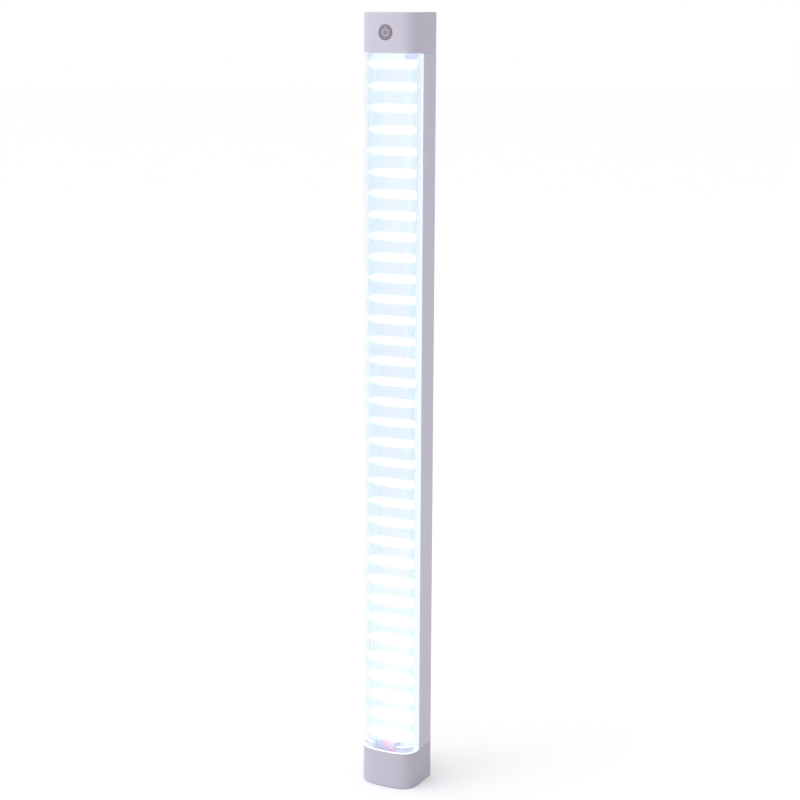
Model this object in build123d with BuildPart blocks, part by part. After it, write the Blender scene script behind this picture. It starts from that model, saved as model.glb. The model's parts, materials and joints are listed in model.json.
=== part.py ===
from build123d import *
from math import asin, degrees, radians, sqrt, tan
import os

# LED light tube: a slim battery lamp that stands on its lower end cap.
# Millimetres. +Z runs up the tube, the lit front faces -Y, +X is to the right seen from the front,
# and the origin is the middle of the base.

# ---------------------------------------------------------------- overall size
LENGTH = 600.0
WIDTH = 46.0
DEPTH = 40.0
CAP_HEIGHT = 29.5
FRONT_RADIUS = 80.0          # the slightly bowed front face
FRONT_CORNER = 12.3          # large front corners
REAR_CORNER = 4.0
CAP_EDGE = 1.2               # rounding of each cap's end face
SEAM = 0.2                   # gap between a cap and the tube

# ---------------------------------------------------------------- shells
WALL = 2.0                   # cover and caps
HOUSING_WALL = 2.2
END_WALL = 2.4
PARTING_Y = -3.6             # plane where the cover meets the housing
SHARPEST_REAR_CORNER = 0.6

RIB_RADIUS = 0.45
RIB_PITCH = 1.375
RIBS_PER_CORNER = 8

LIP_OUTER = 20.8             # half distance between the outer faces of the housing's lips
LIP_THICKNESS = 1.2
LIP_FRONT_Y = -8.1
LIP_REAR_Y = 2.0
LEDGE_DEPTH = 1.8
LEDGE_THICKNESS = 1.2
BEAD_Y = -5.6
BEAD_RADIUS = 0.55
BEAD_SINK = 0.05             # how far the bead's centre lies inside the lip
GROOVE_RADIUS = 0.7

SPIGOT_INSET = 2.6
SPIGOT_THICKNESS = 1.6
SPIGOT_LENGTH = 5.0
SPIGOT_ROOT = 3.0
SPIGOT_REAR_Y = -8.6
SPIGOT_GAP_TOP = 28.0        # the middle of each spigot is left open
SPIGOT_GAP_BOTTOM = 20.0
ROOT_INSET = 1.5
TAB_THICKNESS = 1.6
TAB_CLEARANCE = 0.15
SIDE_TAB_Y = 6.0
SIDE_TAB_WIDTH = 6.0
REAR_TAB_WIDTH = 16.0

# ---------------------------------------------------------------- cap screws
SCREW_X = 17.6
SCREW_Y = 14.6
SCREW_RADIUS = 1.25
SCREW_LENGTH = 16.0
SCREW_HEAD_RADIUS = 2.7
SCREW_HEAD_HEIGHT = 1.9
SCREW_LEDGE = 8.0            # plastic under the head
CHANNEL_RADIUS = 3.4
POST_RADIUS = 4.2
COUNTERBORE_RADIUS = 3.0
CLEARANCE_RADIUS = 1.6

# ---------------------------------------------------------------- light engine
TRAY_HALF_WIDTH = 19.4
TRAY_THICKNESS = 1.0
TRAY_WALL = 0.8
TRAY_WALL_FRONT_Y = -5.1
TRAY_REAR_Y = -1.6
TRAY_LENGTH = 541.0          # its ends reach a little way into the caps
TAPE_THICKNESS = 0.2
TAPE_LENGTH = 533.0
TAPE_WIDTH = 18.0
BOARD_THICKNESS = 1.6
LED_BOARD_WIDTH = 20.0
LED_BOARD_LENGTH = 537.0
LED_COUNT = 34
LED_PITCH = 15.88
LED_SIZE = 5.0
LED_HEIGHT = 1.6
LED_CORNER = 0.4
PHOSPHOR_RADIUS = 2.0
PHOSPHOR_DEPTH = 0.8

# ---------------------------------------------------------------- power button
BUTTON_Z = 585.4
BUTTON_RADIUS = 5.4
BUTTON_GAP = 0.3
BUTTON_EDGE = 0.3
BUTTON_TRAVEL = 0.6
SKIRT_REAR_Y = -17.4
FLANGE_RADIUS = 6.6
FLANGE_REAR_Y = -16.2
STEM_RADIUS = 2.0
STEM_REAR_Y = -13.9
PLUNGER_RADIUS = 1.75
PLUNGER_LENGTH = 2.0
KEY_NOTCH = 2.0
KEY_RIB = 1.2
KEY_RIB_HEIGHT = 1.6
SYMBOL_DEPTH = 0.2
SYMBOL_RADIUS = 2.7
SYMBOL_LINE = 0.6
SYMBOL_BAR = 2.2
SWITCH_SIZE = 6.0
SWITCH_FRONT_Y = -12.4
SWITCH_BORE = 2.05
SWITCH_BORE_SPARE = 0.4      # room left behind the pressed plunger
SWITCH_BOARD_FRONT_Y = -9.0
SWITCH_BOARD_WIDTH = 26.0
SWITCH_BOARD_HEIGHT = 22.0
SWITCH_BOSS_X = 10.2
SWITCH_BOSS_RADIUS = 2.3

# ---------------------------------------------------------------- small screws for the boards
SMALL_SCREW_RADIUS = 0.8
SMALL_SCREW_LENGTH = 6.0
SMALL_HEAD_RADIUS = 1.8
SMALL_HEAD_HEIGHT = 1.2
SMALL_CLEARANCE = 1.1

# ---------------------------------------------------------------- battery
CELL_RADIUS = 9.15
CELL_LENGTH = 64.0
CELL_PITCH = 67.0
CELL_COUNT = 3
CELL_BOTTOM_Z = 45.0
CELL_GROOVE_Z = 60.0
CELL_GROOVE = 0.5
TERMINAL_RADIUS = 4.0
TERMINAL_HEIGHT = 1.0
TAB_STRIP = 0.3
TAB_STRIP_WIDTH = 7.0
RAIL_INNER = 9.4
RAIL_THICKNESS = 1.2
RAIL_FRONT_Y = 8.0
HOLDER_END = 1.6
HOLDER_PLAY = 1.4
PAD_WIDTH = 12.0
PAD_LENGTH = 20.0
PROTECTION_THICKNESS = 1.2
PROTECTION_WIDTH = 16.0
PROTECTION_DEPTH = 14.0

# ---------------------------------------------------------------- lower electronics
DRIVER_FRONT_Y = -8.0
DRIVER_WIDTH = 26.0
DRIVER_BOTTOM_Z = 12.0
DRIVER_TOP_Z = 31.0
GUIDE_INNER = 11.4
GUIDE_OUTER = 14.2
GUIDE_FRONT_Y = -10.0
GUIDE_REAR_Y = -4.4
GUIDE_TOP_Z = 20.0
GUIDE_PLAY = 0.05
CHARGER_Z = 13.0
CHARGER_WIDTH = 25.2
CHARGER_FRONT_Y = 3.0
CHARGER_REAR_Y = 17.8
CHARGER_POST_X = 9.5
CHARGER_POST_Y = 5.5
CHARGER_REST_Y = 15.5
CHARGER_POST_RADIUS = 2.4
CHARGER_REST_RADIUS = 2.0
JUMPER_WIDTH = 10.0
JUMPER_THICKNESS = 0.8

# ---------------------------------------------------------------- charging socket (USB-C)
SOCKET_WIDTH = 8.94
SOCKET_HEIGHT = 3.26
SOCKET_LENGTH = 7.4
SOCKET_WALL = 0.3
SOCKET_CORNER = 1.6
SOCKET_BACK = 0.8
SOCKET_MOUTH_Y = 18.4
SLOT_WIDTH = 9.4
SLOT_HEIGHT = 3.7
RECESS_WIDTH = 13.0
RECESS_HEIGHT = 7.5
RECESS_DEPTH = 1.2
RECESS_CORNER = 3.0
TONGUE_WIDTH = 6.6
TONGUE_THICKNESS = 0.7
TONGUE_LENGTH = 5.8
PIPE_X = -9.0
PIPE_RADIUS = 1.0
PIPE_FRONT_Y = 14.6

# ---------------------------------------------------------------- tripod insert (1/4"-20)
INSERT_RADIUS = 4.5
INSERT_BORE = 2.55
INSERT_LENGTH = 9.5
INSERT_WAIST = 0.4
INSERT_WAIST_WIDTH = 1.4
INSERT_BOSS_RADIUS = 7.0
INSERT_ROOF = 1.0

# ---------------------------------------------------------------- wires
LEAD_RADIUS = 0.8
LED_LEAD_RADIUS = 1.1
CABLE_RADIUS = 1.2
BEND_SHARE = 0.45            # part of the shorter run that each bend takes

# ---------------------------------------------------------------- worked out from the above
HALF_WIDTH = WIDTH / 2
HALF_DEPTH = DEPTH / 2
JOINT_LOW = CAP_HEIGHT
JOINT_HIGH = LENGTH - CAP_HEIGHT
TUBE_BOTTOM = JOINT_LOW + SEAM
TUBE_LENGTH = JOINT_HIGH - JOINT_LOW - 2 * SEAM
MIDDLE_Z = LENGTH / 2
FRONT_CENTRE_Y = FRONT_RADIUS - HALF_DEPTH
CORNER_X = HALF_WIDTH - FRONT_CORNER
CORNER_Y = FRONT_CENTRE_Y - sqrt((FRONT_RADIUS - FRONT_CORNER) ** 2 - CORNER_X**2)
FRONT_SWEEP = degrees(asin(CORNER_X / (FRONT_RADIUS - FRONT_CORNER)))
RIB_FRONT_STEP = degrees(RIB_PITCH / (FRONT_RADIUS - WALL))
RIB_CORNER_STEP = degrees(RIB_PITCH / (FRONT_CORNER - WALL))
RIBS_ON_FRONT = 2 * int(FRONT_SWEEP / RIB_FRONT_STEP) + 1
SCREW_PLACES = [(-SCREW_X, SCREW_Y), (SCREW_X, SCREW_Y)]
TRAY_FRONT_Y = TRAY_REAR_Y - TRAY_THICKNESS
LED_BOARD_REAR_Y = TRAY_FRONT_Y - TAPE_THICKNESS
LED_BOARD_FRONT_Y = LED_BOARD_REAR_Y - BOARD_THICKNESS
HOUSING_BACK_Y = HALF_DEPTH - HOUSING_WALL
CELL_Y = HOUSING_BACK_Y - CELL_RADIUS
PACK_TOP_Z = CELL_BOTTOM_Z + (CELL_COUNT - 1) * CELL_PITCH + CELL_LENGTH + TERMINAL_HEIGHT
HOLDER_BOTTOM_Z = CELL_BOTTOM_Z - HOLDER_PLAY - HOLDER_END
HOLDER_TOP_Z = PACK_TOP_Z + HOLDER_PLAY + HOLDER_END
DRIVER_REAR_Y = DRIVER_FRONT_Y + BOARD_THICKNESS
CHARGER_TOP_Z = CHARGER_Z + BOARD_THICKNESS
SOCKET_Z = CHARGER_TOP_Z + SOCKET_HEIGHT / 2
SWITCH_BOARD_REAR_Y = SWITCH_BOARD_FRONT_Y + BOARD_THICKNESS
PLUNGER_REAR_Y = STEM_REAR_Y + PLUNGER_LENGTH
SWITCH_BORE_REAR_Y = PLUNGER_REAR_Y + BUTTON_TRAVEL + SWITCH_BORE_SPARE

os.makedirs("parts", exist_ok=True)


# ---------------------------------------------------------------- shared shapes
def facing_front(y):
    """Plane across the tube at the given y, facing the lit front: sketch x is +X, sketch y is +Z."""
    return Plane.XZ.offset(-y)


def outline(inset):
    """The tube's rounded section, moved inwards by inset."""
    side = HALF_WIDTH - inset
    rear = HALF_DEPTH - inset
    rear_corner = max(REAR_CORNER - inset, SHARPEST_REAR_CORNER)
    with BuildSketch() as section:
        with BuildLine():
            CenterArc((0, FRONT_CENTRE_Y), FRONT_RADIUS - inset, -90, FRONT_SWEEP)
            CenterArc((CORNER_X, CORNER_Y), FRONT_CORNER - inset, FRONT_SWEEP - 90, 90 - FRONT_SWEEP)
            Line((side, CORNER_Y), (side, rear - rear_corner))
            CenterArc((side - rear_corner, rear - rear_corner), rear_corner, 0, 90)
            Line((side - rear_corner, rear), (0, rear))
            mirror(about=Plane.YZ)
        make_face()
    return section.sketch


def shell_section(wall, front):
    """Wall of the tube in front of the parting plane, or behind it."""
    with BuildSketch() as section:
        add(outline(0))
        add(outline(wall), mode=Mode.SUBTRACT)
        kept = Align.MAX if front else Align.MIN
        with Locations((0, PARTING_Y)):
            Rectangle(2 * WIDTH, 2 * DEPTH, align=(Align.CENTER, kept), mode=Mode.INTERSECT)
    return section.sketch


def pan_screw(radius, length, head_radius, head_height):
    """Pan-head screw pointing down -Z, with the underside of its head at the origin."""
    with BuildPart() as screw:
        Cylinder(radius, length, align=(Align.CENTER, Align.CENTER, Align.MAX))
        Cylinder(head_radius, head_height, align=(Align.CENTER, Align.CENTER, Align.MIN))
        fillet(screw.edges().sort_by(Axis.Z)[-1], head_height * 0.4)
        with BuildSketch(Plane.XY.offset(head_height)):
            with Locations(Rotation(0, 0, 45)):
                Rectangle(head_radius * 1.2, head_radius * 0.25)
                Rectangle(head_radius * 0.25, head_radius * 1.2)
        extrude(amount=-head_height * 0.5, mode=Mode.SUBTRACT)
    return screw.part


def corner_radii(route):
    """Radius of each bend along a wire's route."""
    radii = []
    for before, corner, after in zip(route, route[1:], route[2:]):
        run_in = Vector(corner) - Vector(before)
        run_out = Vector(after) - Vector(corner)
        half_turn = radians(run_in.get_angle(run_out)) / 2
        radii.append(BEND_SHARE * min(run_in.length, run_out.length) / tan(half_turn))
    return radii


def wire(route, radius):
    """Round wire along a route of straight runs joined by arcs."""
    with BuildPart() as strand:
        with BuildLine() as path:
            FilletPolyline(*route, radius=corner_radii(route))
        with BuildSketch(Plane(origin=path.line @ 0, z_dir=path.line % 0)):
            Circle(radius)
        sweep(path=path.line)
    return strand.part


def cap_shell(spigot_gap):
    """End cap standing on its end wall at z = 0, with its spigot, tabs and screw posts."""
    with BuildPart() as shell:
        with BuildSketch():
            add(outline(0))
        extrude(amount=CAP_HEIGHT)
        fillet(shell.faces().sort_by(Axis.Z)[0].edges(), CAP_EDGE)
        with BuildSketch(Plane.XY.offset(END_WALL)):
            add(outline(WALL))
        extrude(amount=CAP_HEIGHT - END_WALL, mode=Mode.SUBTRACT)

        # front spigot: a thick root inside the cap, then a thin wall that enters the cover
        for start, height, inset in [
            (CAP_HEIGHT - SPIGOT_ROOT, SPIGOT_ROOT, ROOT_INSET),
            (CAP_HEIGHT, SPIGOT_LENGTH, SPIGOT_INSET),
        ]:
            with BuildSketch(Plane.XY.offset(start)):
                add(outline(inset))
                add(outline(SPIGOT_INSET + SPIGOT_THICKNESS), mode=Mode.SUBTRACT)
                with Locations((0, SPIGOT_REAR_Y)):
                    Rectangle(WIDTH, DEPTH, align=(Align.CENTER, Align.MAX), mode=Mode.INTERSECT)
                with Locations((0, -HALF_DEPTH)):
                    Rectangle(spigot_gap, DEPTH / 2, mode=Mode.SUBTRACT)
            extrude(amount=height)

        # locating tabs against the housing's back and sides
        back_tab_y = HOUSING_BACK_Y - TAB_CLEARANCE
        side_tab_x = LIP_OUTER - TAB_CLEARANCE
        for start, height, sink in [
            (CAP_HEIGHT - SPIGOT_ROOT, SPIGOT_ROOT, WALL / 2),
            (CAP_HEIGHT, SPIGOT_LENGTH, 0),
        ]:
            with BuildSketch(Plane.XY.offset(start)):
                with Locations((0, back_tab_y + sink)):
                    Rectangle(REAR_TAB_WIDTH, TAB_THICKNESS + sink, align=(Align.CENTER, Align.MAX))
                for side, edge in [(-1, Align.MIN), (1, Align.MAX)]:
                    with Locations((side * (side_tab_x + sink), SIDE_TAB_Y)):
                        Rectangle(TAB_THICKNESS + sink, SIDE_TAB_WIDTH, align=(edge, Align.CENTER))
            extrude(amount=height)

        # screw posts, counterbored from the end face
        with BuildSketch(Plane.XY.offset(END_WALL)):
            with Locations(*SCREW_PLACES):
                Circle(POST_RADIUS)
        extrude(amount=CAP_HEIGHT - END_WALL)
        with Locations(*[Plane(origin=(x, y, 0), z_dir=(0, 0, -1)) for x, y in SCREW_PLACES]):
            CounterBoreHole(CLEARANCE_RADIUS, COUNTERBORE_RADIUS, CAP_HEIGHT - SCREW_LEDGE, CAP_HEIGHT)
    return shell.part


# ================================================================ shells
# Housing: U-shaped extrusion with lips for the cover, ledges for the tray and screw channels.
with BuildPart() as housing:
    with BuildSketch(Plane.XY.offset(TUBE_BOTTOM)):
        add(shell_section(HOUSING_WALL, front=False))
        for side, edge in [(-1, Align.MIN), (1, Align.MAX)]:
            with Locations((side * LIP_OUTER, LIP_FRONT_Y)):
                Rectangle(LIP_THICKNESS, LIP_REAR_Y - LIP_FRONT_Y, align=(edge, Align.MIN))
            with Locations((side * LIP_OUTER, TRAY_REAR_Y)):
                Rectangle(LIP_THICKNESS + LEDGE_DEPTH, LEDGE_THICKNESS, align=(edge, Align.MIN))
            with Locations((side * (LIP_OUTER - BEAD_SINK), BEAD_Y)):
                Circle(BEAD_RADIUS)
        with Locations(*SCREW_PLACES):
            Circle(CHANNEL_RADIUS)
            Circle(SCREW_RADIUS, mode=Mode.SUBTRACT)
    extrude(amount=TUBE_LENGTH)
housing.part.label = "housing"
export_step(housing.part, "parts/housing.step")

# Clear cover: fine ribs run the whole length of its inner face, and a groove near each edge
# snaps over the housing's bead.
with BuildPart() as lens_cover:
    with BuildSketch(Plane.XY.offset(TUBE_BOTTOM)):
        add(shell_section(WALL, front=True))
        with Locations((0, FRONT_CENTRE_Y)):
            with PolarLocations(
                FRONT_RADIUS - WALL,
                RIBS_ON_FRONT,
                start_angle=-90 - RIB_FRONT_STEP * (RIBS_ON_FRONT - 1) / 2,
                angular_range=RIB_FRONT_STEP * (RIBS_ON_FRONT - 1),
                endpoint=True,
            ):
                Circle(RIB_RADIUS)
        for side in (-1, 1):
            for step in range(1, RIBS_PER_CORNER + 1):
                angle = -90 + side * (FRONT_SWEEP + step * RIB_CORNER_STEP)
                with Locations((side * CORNER_X, CORNER_Y)):
                    with PolarLocations(FRONT_CORNER - WALL, 1, start_angle=angle):
                        Circle(RIB_RADIUS)
            with Locations((side * (LIP_OUTER + BEAD_SINK), BEAD_Y)):
                Circle(GROOVE_RADIUS, mode=Mode.SUBTRACT)
    extrude(amount=TUBE_LENGTH)
lens_cover.part.label = "lens_cover"
export_step(lens_cover.part, "parts/lens_cover.step")

# Top cap: the shared shell turned upside down, with the button's hole, its key and two bosses.
with BuildPart() as top_cap:
    add(mirror(cap_shell(SPIGOT_GAP_TOP), about=Plane.XY.offset(MIDDLE_Z)))
    with BuildSketch(facing_front(SWITCH_BOARD_FRONT_Y)):
        with Locations((-SWITCH_BOSS_X, BUTTON_Z), (SWITCH_BOSS_X, BUTTON_Z)):
            Circle(SWITCH_BOSS_RADIUS)
    extrude(amount=HALF_DEPTH - WALL / 2 + SWITCH_BOARD_FRONT_Y)
    with BuildSketch(facing_front(SWITCH_BOARD_FRONT_Y)):
        with Locations((-SWITCH_BOSS_X, BUTTON_Z), (SWITCH_BOSS_X, BUTTON_Z)):
            Circle(SMALL_SCREW_RADIUS)
    extrude(amount=SMALL_SCREW_LENGTH, mode=Mode.SUBTRACT)
    with BuildSketch(facing_front(STEM_REAR_Y)):
        with Locations((0, BUTTON_Z - FLANGE_RADIUS + (KEY_NOTCH - KEY_RIB) / 2)):
            Rectangle(KEY_RIB, KEY_RIB_HEIGHT, align=(Align.CENTER, Align.MAX))
    extrude(amount=HALF_DEPTH - WALL / 2 + STEM_REAR_Y)
    with BuildSketch(facing_front(SKIRT_REAR_Y)):
        with Locations((0, BUTTON_Z)):
            Circle(BUTTON_RADIUS + BUTTON_GAP)
    extrude(amount=HALF_DEPTH, mode=Mode.SUBTRACT)
top_cap.part.label = "top_cap"
export_step(top_cap.part, "parts/top_cap.step")

# Bottom cap: carries the tripod insert, both lower boards, the charging socket and its light pipe.
with BuildPart() as bottom_cap:
    add(cap_shell(SPIGOT_GAP_BOTTOM))
    with BuildSketch():
        Circle(INSERT_BOSS_RADIUS)
    extrude(amount=INSERT_LENGTH + INSERT_ROOF)
    with BuildSketch():
        Circle(INSERT_RADIUS)
    extrude(amount=INSERT_LENGTH, mode=Mode.SUBTRACT)

    # card guides for the driver board
    with BuildSketch(Plane.XY.offset(END_WALL)):
        for side, edge in [(-1, Align.MAX), (1, Align.MIN)]:
            with Locations((side * GUIDE_INNER, GUIDE_FRONT_Y)):
                Rectangle(GUIDE_OUTER - GUIDE_INNER, GUIDE_REAR_Y - GUIDE_FRONT_Y, align=(edge, Align.MIN))
    extrude(amount=GUIDE_TOP_Z - END_WALL)
    with BuildSketch(Plane.XY.offset(DRIVER_BOTTOM_Z)):
        with Locations((0, DRIVER_FRONT_Y + BOARD_THICKNESS / 2)):
            Rectangle(DRIVER_WIDTH + 2 * GUIDE_PLAY, BOARD_THICKNESS + 2 * GUIDE_PLAY)
    extrude(amount=GUIDE_TOP_Z - DRIVER_BOTTOM_Z, mode=Mode.SUBTRACT)

    # posts and rests for the charging board
    with BuildSketch(Plane.XY.offset(END_WALL)):
        with Locations((-CHARGER_POST_X, CHARGER_POST_Y), (CHARGER_POST_X, CHARGER_POST_Y)):
            Circle(CHARGER_POST_RADIUS)
        with Locations((-CHARGER_POST_X, CHARGER_REST_Y), (CHARGER_POST_X, CHARGER_REST_Y)):
            Circle(CHARGER_REST_RADIUS)
    extrude(amount=CHARGER_Z - END_WALL)
    with BuildSketch(Plane.XY.offset(CHARGER_Z)):
        with Locations((-CHARGER_POST_X, CHARGER_POST_Y), (CHARGER_POST_X, CHARGER_POST_Y)):
            Circle(SMALL_SCREW_RADIUS)
    extrude(amount=-SMALL_SCREW_LENGTH, mode=Mode.SUBTRACT)

    # charging socket opening with its plug recess, and the light pipe's hole
    with BuildSketch(facing_front(HALF_DEPTH)):
        with Locations((0, SOCKET_Z)):
            RectangleRounded(RECESS_WIDTH, RECESS_HEIGHT, RECESS_CORNER)
    extrude(amount=RECESS_DEPTH, mode=Mode.SUBTRACT)
    with BuildSketch(facing_front(HALF_DEPTH)):
        with Locations((0, SOCKET_Z)):
            RectangleRounded(SLOT_WIDTH, SLOT_HEIGHT, SLOT_HEIGHT / 2 - GUIDE_PLAY)
        with Locations((PIPE_X, SOCKET_Z)):
            Circle(PIPE_RADIUS)
    extrude(amount=WALL, mode=Mode.SUBTRACT)
bottom_cap.part.label = "bottom_cap"
export_step(bottom_cap.part, "parts/bottom_cap.step")

# ================================================================ light engine
# Reflector tray: white channel that slides in on the housing's ledges.
with BuildPart() as reflector_tray:
    with BuildSketch(Plane.XY.offset(MIDDLE_Z - TRAY_LENGTH / 2)):
        with Locations((0, TRAY_REAR_Y)):
            Rectangle(2 * TRAY_HALF_WIDTH, TRAY_THICKNESS, align=(Align.CENTER, Align.MAX))
        for side, edge in [(-1, Align.MIN), (1, Align.MAX)]:
            with Locations((side * TRAY_HALF_WIDTH, TRAY_WALL_FRONT_Y)):
                Rectangle(TRAY_WALL, TRAY_REAR_Y - TRAY_WALL_FRONT_Y, align=(edge, Align.MIN))
    extrude(amount=TRAY_LENGTH)
reflector_tray.part.label = "reflector_tray"
export_step(reflector_tray.part, "parts/reflector_tray.step")

# Adhesive strip that holds the LED board on the tray.
with BuildPart() as board_tape:
    with BuildSketch(facing_front(TRAY_FRONT_Y)):
        with Locations((0, MIDDLE_Z)):
            Rectangle(TAPE_WIDTH, TAPE_LENGTH)
    extrude(amount=TAPE_THICKNESS)
board_tape.part.label = "board_tape"
export_step(board_tape.part, "parts/board_tape.step")

with BuildPart() as led_board:
    with BuildSketch(facing_front(LED_BOARD_REAR_Y)):
        with Locations((0, MIDDLE_Z)):
            Rectangle(LED_BOARD_WIDTH, LED_BOARD_LENGTH)
    extrude(amount=BOARD_THICKNESS)
led_board.part.label = "led_board"
export_step(led_board.part, "parts/led_board.step")

# One row of LEDs: square packages, each with a round cup that its phosphor fills.
with BuildPart() as led_packages:
    with BuildSketch(facing_front(LED_BOARD_FRONT_Y)):
        with Locations((0, MIDDLE_Z)):
            with GridLocations(LED_PITCH, LED_PITCH, 1, LED_COUNT):
                RectangleRounded(LED_SIZE, LED_SIZE, LED_CORNER)
    extrude(amount=LED_HEIGHT)
    with BuildSketch(facing_front(LED_BOARD_FRONT_Y - LED_HEIGHT)):
        with Locations((0, MIDDLE_Z)):
            with GridLocations(LED_PITCH, LED_PITCH, 1, LED_COUNT):
                Circle(PHOSPHOR_RADIUS)
    extrude(amount=-PHOSPHOR_DEPTH, mode=Mode.SUBTRACT)
led_packages.part.label = "led_packages"
export_step(led_packages.part, "parts/led_packages.step")

with BuildPart() as led_phosphors:
    with BuildSketch(facing_front(LED_BOARD_FRONT_Y - LED_HEIGHT + PHOSPHOR_DEPTH)):
        with Locations((0, MIDDLE_Z)):
            with GridLocations(LED_PITCH, LED_PITCH, 1, LED_COUNT):
                Circle(PHOSPHOR_RADIUS)
    extrude(amount=PHOSPHOR_DEPTH)
led_phosphors.part.label = "led_phosphors"
export_step(led_phosphors.part, "parts/led_phosphors.step")

# ================================================================ power button
# Button: round cap with a retaining flange, a key notch and a stem that reaches the switch.
with BuildPart() as power_button:
    with BuildSketch(facing_front(SKIRT_REAR_Y)):
        with Locations((0, BUTTON_Z)):
            Circle(BUTTON_RADIUS)
    extrude(amount=HALF_DEPTH + SKIRT_REAR_Y)
    fillet(power_button.faces().sort_by(Axis.Y)[0].edges(), BUTTON_EDGE)
    with BuildSketch(facing_front(FLANGE_REAR_Y)):
        with Locations((0, BUTTON_Z)):
            Circle(FLANGE_RADIUS)
        with Locations((0, BUTTON_Z - FLANGE_RADIUS)):
            Rectangle(KEY_NOTCH, KEY_NOTCH, mode=Mode.SUBTRACT)
    extrude(amount=FLANGE_REAR_Y - SKIRT_REAR_Y)
    with BuildSketch(facing_front(STEM_REAR_Y)):
        with Locations((0, BUTTON_Z)):
            Circle(STEM_RADIUS)
    extrude(amount=STEM_REAR_Y - FLANGE_REAR_Y)
    with BuildSketch(facing_front(-HALF_DEPTH)) as symbol_sketch:
        with Locations((0, BUTTON_Z)):
            Circle(SYMBOL_RADIUS)
            Circle(SYMBOL_RADIUS - SYMBOL_LINE, mode=Mode.SUBTRACT)
        with Locations((0, BUTTON_Z + SYMBOL_RADIUS)):
            Rectangle(SYMBOL_BAR, SYMBOL_RADIUS, mode=Mode.SUBTRACT)
        with Locations((0, BUTTON_Z + SYMBOL_RADIUS)):
            Rectangle(SYMBOL_LINE, SYMBOL_RADIUS)
    extrude(amount=-SYMBOL_DEPTH, mode=Mode.SUBTRACT)
power_button.part.label = "power_button"
export_step(power_button.part, "parts/power_button.step")

# Standby symbol: light inlay, flush with the button's face.
with BuildPart() as power_symbol:
    with BuildSketch(facing_front(-HALF_DEPTH)):
        add(symbol_sketch.sketch_local)
    extrude(amount=-SYMBOL_DEPTH)
power_symbol.part.label = "power_symbol"
export_step(power_symbol.part, "parts/power_symbol.step")

with BuildPart() as switch_plunger:
    with BuildSketch(facing_front(PLUNGER_REAR_Y)):
        with Locations((0, BUTTON_Z)):
            Circle(PLUNGER_RADIUS)
    extrude(amount=PLUNGER_LENGTH)
switch_plunger.part.label = "switch_plunger"
export_step(switch_plunger.part, "parts/switch_plunger.step")

with BuildPart() as switch_body:
    with BuildSketch(facing_front(SWITCH_BOARD_FRONT_Y)):
        with Locations((0, BUTTON_Z)):
            RectangleRounded(SWITCH_SIZE, SWITCH_SIZE, LED_CORNER)
    extrude(amount=SWITCH_BOARD_FRONT_Y - SWITCH_FRONT_Y)
    with BuildSketch(facing_front(SWITCH_BORE_REAR_Y)):
        with Locations((0, BUTTON_Z)):
            Circle(SWITCH_BORE)
    extrude(amount=SWITCH_BORE_REAR_Y - SWITCH_FRONT_Y, mode=Mode.SUBTRACT)
switch_body.part.label = "switch_body"
export_step(switch_body.part, "parts/switch_body.step")

with BuildPart() as switch_board:
    with BuildSketch(facing_front(SWITCH_BOARD_REAR_Y)):
        with Locations((0, BUTTON_Z)):
            RectangleRounded(SWITCH_BOARD_WIDTH, SWITCH_BOARD_HEIGHT, 1.5)
        with Locations((-SWITCH_BOSS_X, BUTTON_Z), (SWITCH_BOSS_X, BUTTON_Z)):
            Circle(SMALL_CLEARANCE, mode=Mode.SUBTRACT)
    extrude(amount=BOARD_THICKNESS)
switch_board.part.label = "switch_board"
export_step(switch_board.part, "parts/switch_board.step")

# Microcontroller and two capacitors on the board's rear face.
with BuildPart() as switch_board_parts:
    for x, z, wide, tall, thick in [(0, 6, 4, 4, 0.9), (-4, -1, 1.6, 0.8, 0.8), (4, -1, 1.6, 0.8, 0.8)]:
        with BuildSketch(facing_front(SWITCH_BOARD_REAR_Y + thick)):
            with Locations((x, BUTTON_Z + z)):
                Rectangle(wide, tall)
        extrude(amount=thick)
switch_board_parts.part.label = "switch_board_parts"
export_step(switch_board_parts.part, "parts/switch_board_parts.step")

with BuildPart() as switch_board_screws:
    small_screw = pan_screw(SMALL_SCREW_RADIUS, SMALL_SCREW_LENGTH, SMALL_HEAD_RADIUS, SMALL_HEAD_HEIGHT)
    for side in (-1, 1):
        with Locations(Plane((side * SWITCH_BOSS_X, SWITCH_BOARD_REAR_Y, BUTTON_Z), z_dir=(0, 1, 0))):
            add(small_screw)
switch_board_screws.part.label = "switch_board_screws"
export_step(switch_board_screws.part, "parts/switch_board_screws.step")

# ================================================================ battery
# Three cylindrical cells end to end, each with a rolled groove below its positive end.
with BuildPart() as battery_cells:
    with BuildSketch(Plane.XZ):
        with BuildLine():
            Polyline(
                (0, 0),
                (CELL_RADIUS, 0),
                (CELL_RADIUS, CELL_GROOVE_Z - CELL_GROOVE),
                (CELL_RADIUS - CELL_GROOVE, CELL_GROOVE_Z),
                (CELL_RADIUS, CELL_GROOVE_Z + CELL_GROOVE),
                (CELL_RADIUS, CELL_LENGTH),
                (0, CELL_LENGTH),
                close=True,
            )
        make_face()
    one_cell = revolve(axis=Axis.Z, mode=Mode.PRIVATE)
    for index in range(CELL_COUNT):
        with Locations((0, CELL_Y, CELL_BOTTOM_Z + index * CELL_PITCH)):
            add(one_cell)
battery_cells.part.label = "battery_cells"
export_step(battery_cells.part, "parts/battery_cells.step")

with BuildPart() as battery_terminals:
    for index in range(CELL_COUNT):
        with Locations((0, CELL_Y, CELL_BOTTOM_Z + index * CELL_PITCH + CELL_LENGTH)):
            Cylinder(TERMINAL_RADIUS, TERMINAL_HEIGHT, align=(Align.CENTER, Align.CENTER, Align.MIN))
battery_terminals.part.label = "battery_terminals"
export_step(battery_terminals.part, "parts/battery_terminals.step")

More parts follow.
